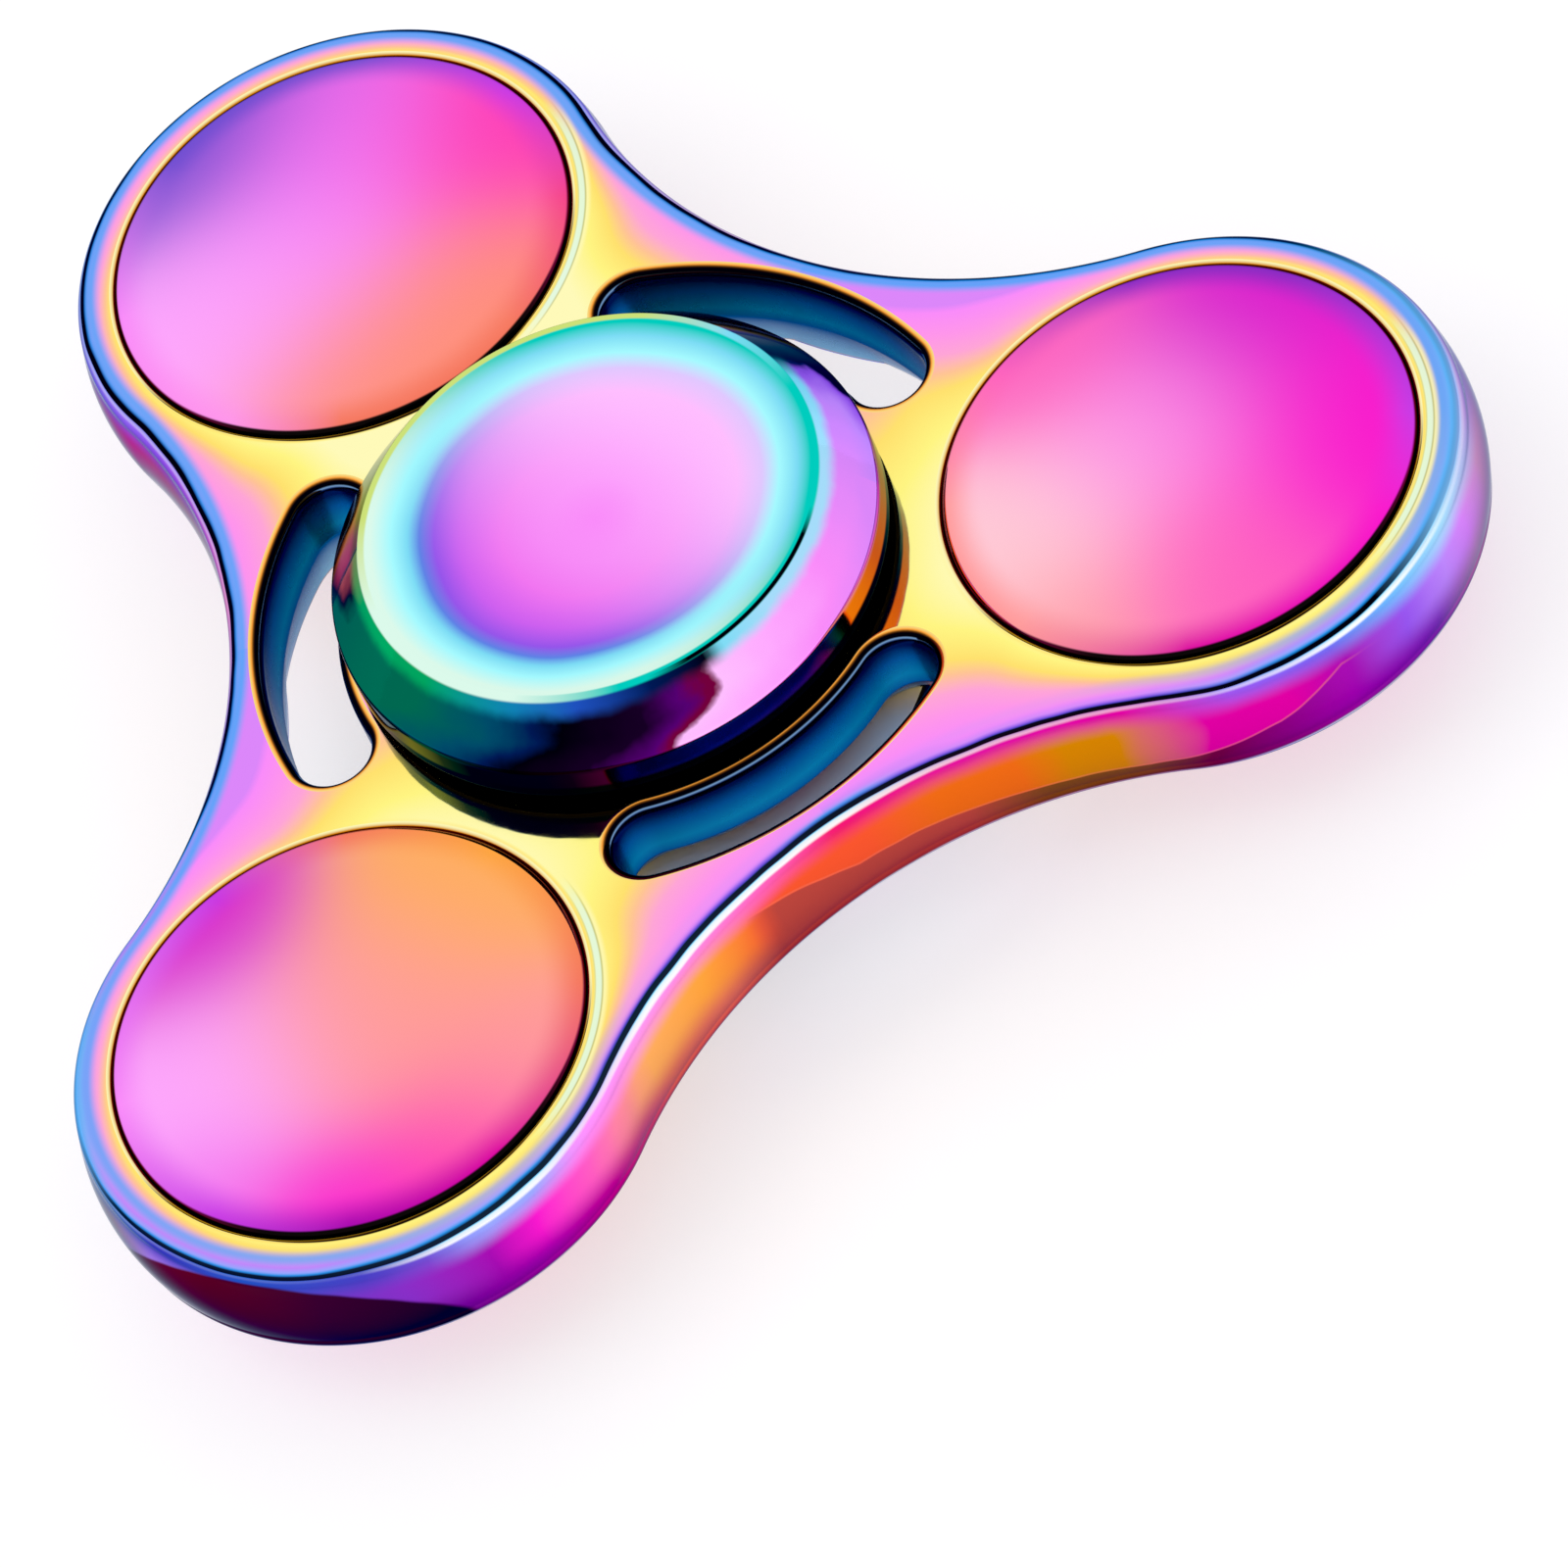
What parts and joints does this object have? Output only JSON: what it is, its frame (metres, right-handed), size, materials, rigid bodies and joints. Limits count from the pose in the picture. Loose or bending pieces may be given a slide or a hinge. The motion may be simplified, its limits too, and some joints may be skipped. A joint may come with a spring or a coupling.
{
  "type": "fidget spinner",
  "caption": "Three-armed metal fidget spinner with a mirror-bright rainbow finish, domed round weights, arc slots round the hub and dished finger caps on a ball bearing.",
  "frame": {"origin": "centre of the bearing, on the mid-plane of the body", "axes": "+Z along the spin axis out of the top finger cap, +X along the first arm"},
  "size_m": [0.0556, 0.0608, 0.014],
  "materials": {
    "body_plating": "polished",
    "weight_plating": "polished",
    "cap_plating": "polished",
    "bearing_steel": "polished",
    "ball_steel": "polished",
    "cage_steel": "satin",
    "shield_steel": "satin",
    "spring_steel": "satin"
  },
  "bodies": {
    "hub": {"finger_cap_top": "cap_plating", "finger_cap_bottom": "cap_plating", "bearing_inner_ring": "bearing_steel"},
    "rotor": {"body": "body_plating", "weight_disc_1": "weight_plating", "weight_disc_2": "weight_plating", "weight_disc_3": "weight_plating", "bearing_outer_ring": "bearing_steel", "bearing_shield_top": "shield_steel", "bearing_shield_bottom": "shield_steel", "snap_ring_top": "spring_steel", "snap_ring_bottom": "spring_steel"},
    "cage": {"ball_cage": "cage_steel"},
    "ball_01": {"ball_01": "ball_steel"},
    "ball_02": {"ball_02": "ball_steel"},
    "ball_03": {"ball_03": "ball_steel"},
    "ball_04": {"ball_04": "ball_steel"},
    "ball_05": {"ball_05": "ball_steel"},
    "ball_06": {"ball_06": "ball_steel"},
    "ball_07": {"ball_07": "ball_steel"},
    "ball_08": {"ball_08": "ball_steel"},
    "ball_09": {"ball_09": "ball_steel"},
    "ball_10": {"ball_10": "ball_steel"}
  },
  "joints": [
    {"name": "rotor_spin", "type": "hinge", "parent": "hub", "child": "rotor", "pos_m": [0, 0, 0], "axis": [0, 0, 1], "continuous": true},
    {"name": "cage_spin", "type": "hinge", "parent": "hub", "child": "cage", "pos_m": [0, 0, 0], "axis": [0, 0, 1], "continuous": true},
    {"name": "ball_01_spin", "type": "hinge", "parent": "cage", "child": "ball_01", "pos_m": [0.00476, 0, 0], "axis": [0, 0, 1], "continuous": true},
    {"name": "ball_02_spin", "type": "hinge", "parent": "cage", "child": "ball_02", "pos_m": [0.00385, 0.0028, 0], "axis": [0, 0, 1], "continuous": true},
    {"name": "ball_03_spin", "type": "hinge", "parent": "cage", "child": "ball_03", "pos_m": [0.00147, 0.00453, 0], "axis": [0, 0, 1], "continuous": true},
    {"name": "ball_04_spin", "type": "hinge", "parent": "cage", "child": "ball_04", "pos_m": [-0.00147, 0.00453, 0], "axis": [0, 0, 1], "continuous": true},
    {"name": "ball_05_spin", "type": "hinge", "parent": "cage", "child": "ball_05", "pos_m": [-0.00385, 0.0028, 0], "axis": [0, 0, 1], "continuous": true},
    {"name": "ball_06_spin", "type": "hinge", "parent": "cage", "child": "ball_06", "pos_m": [-0.00476, 0, 0], "axis": [0, 0, 1], "continuous": true},
    {"name": "ball_07_spin", "type": "hinge", "parent": "cage", "child": "ball_07", "pos_m": [-0.00385, -0.0028, 0], "axis": [0, 0, 1], "continuous": true},
    {"name": "ball_08_spin", "type": "hinge", "parent": "cage", "child": "ball_08", "pos_m": [-0.00147, -0.00453, 0], "axis": [0, 0, 1], "continuous": true},
    {"name": "ball_09_spin", "type": "hinge", "parent": "cage", "child": "ball_09", "pos_m": [0.00147, -0.00453, 0], "axis": [0, 0, 1], "continuous": true},
    {"name": "ball_10_spin", "type": "hinge", "parent": "cage", "child": "ball_10", "pos_m": [0.00385, -0.0028, 0], "axis": [0, 0, 1], "continuous": true}
  ],
  "couplings": [
    {"joint": "cage_spin", "follows": "rotor_spin", "ratio": 0.58333},
    {"joint": "ball_01_spin", "follows": "rotor_spin", "ratio": 2.9167},
    {"joint": "ball_02_spin", "follows": "rotor_spin", "ratio": 2.9167},
    {"joint": "ball_03_spin", "follows": "rotor_spin", "ratio": 2.9167},
    {"joint": "ball_04_spin", "follows": "rotor_spin", "ratio": 2.9167},
    {"joint": "ball_05_spin", "follows": "rotor_spin", "ratio": 2.9167},
    {"joint": "ball_06_spin", "follows": "rotor_spin", "ratio": 2.9167},
    {"joint": "ball_07_spin", "follows": "rotor_spin", "ratio": 2.9167},
    {"joint": "ball_08_spin", "follows": "rotor_spin", "ratio": 2.9167},
    {"joint": "ball_09_spin", "follows": "rotor_spin", "ratio": 2.9167},
    {"joint": "ball_10_spin", "follows": "rotor_spin", "ratio": 2.9167}
  ]
}
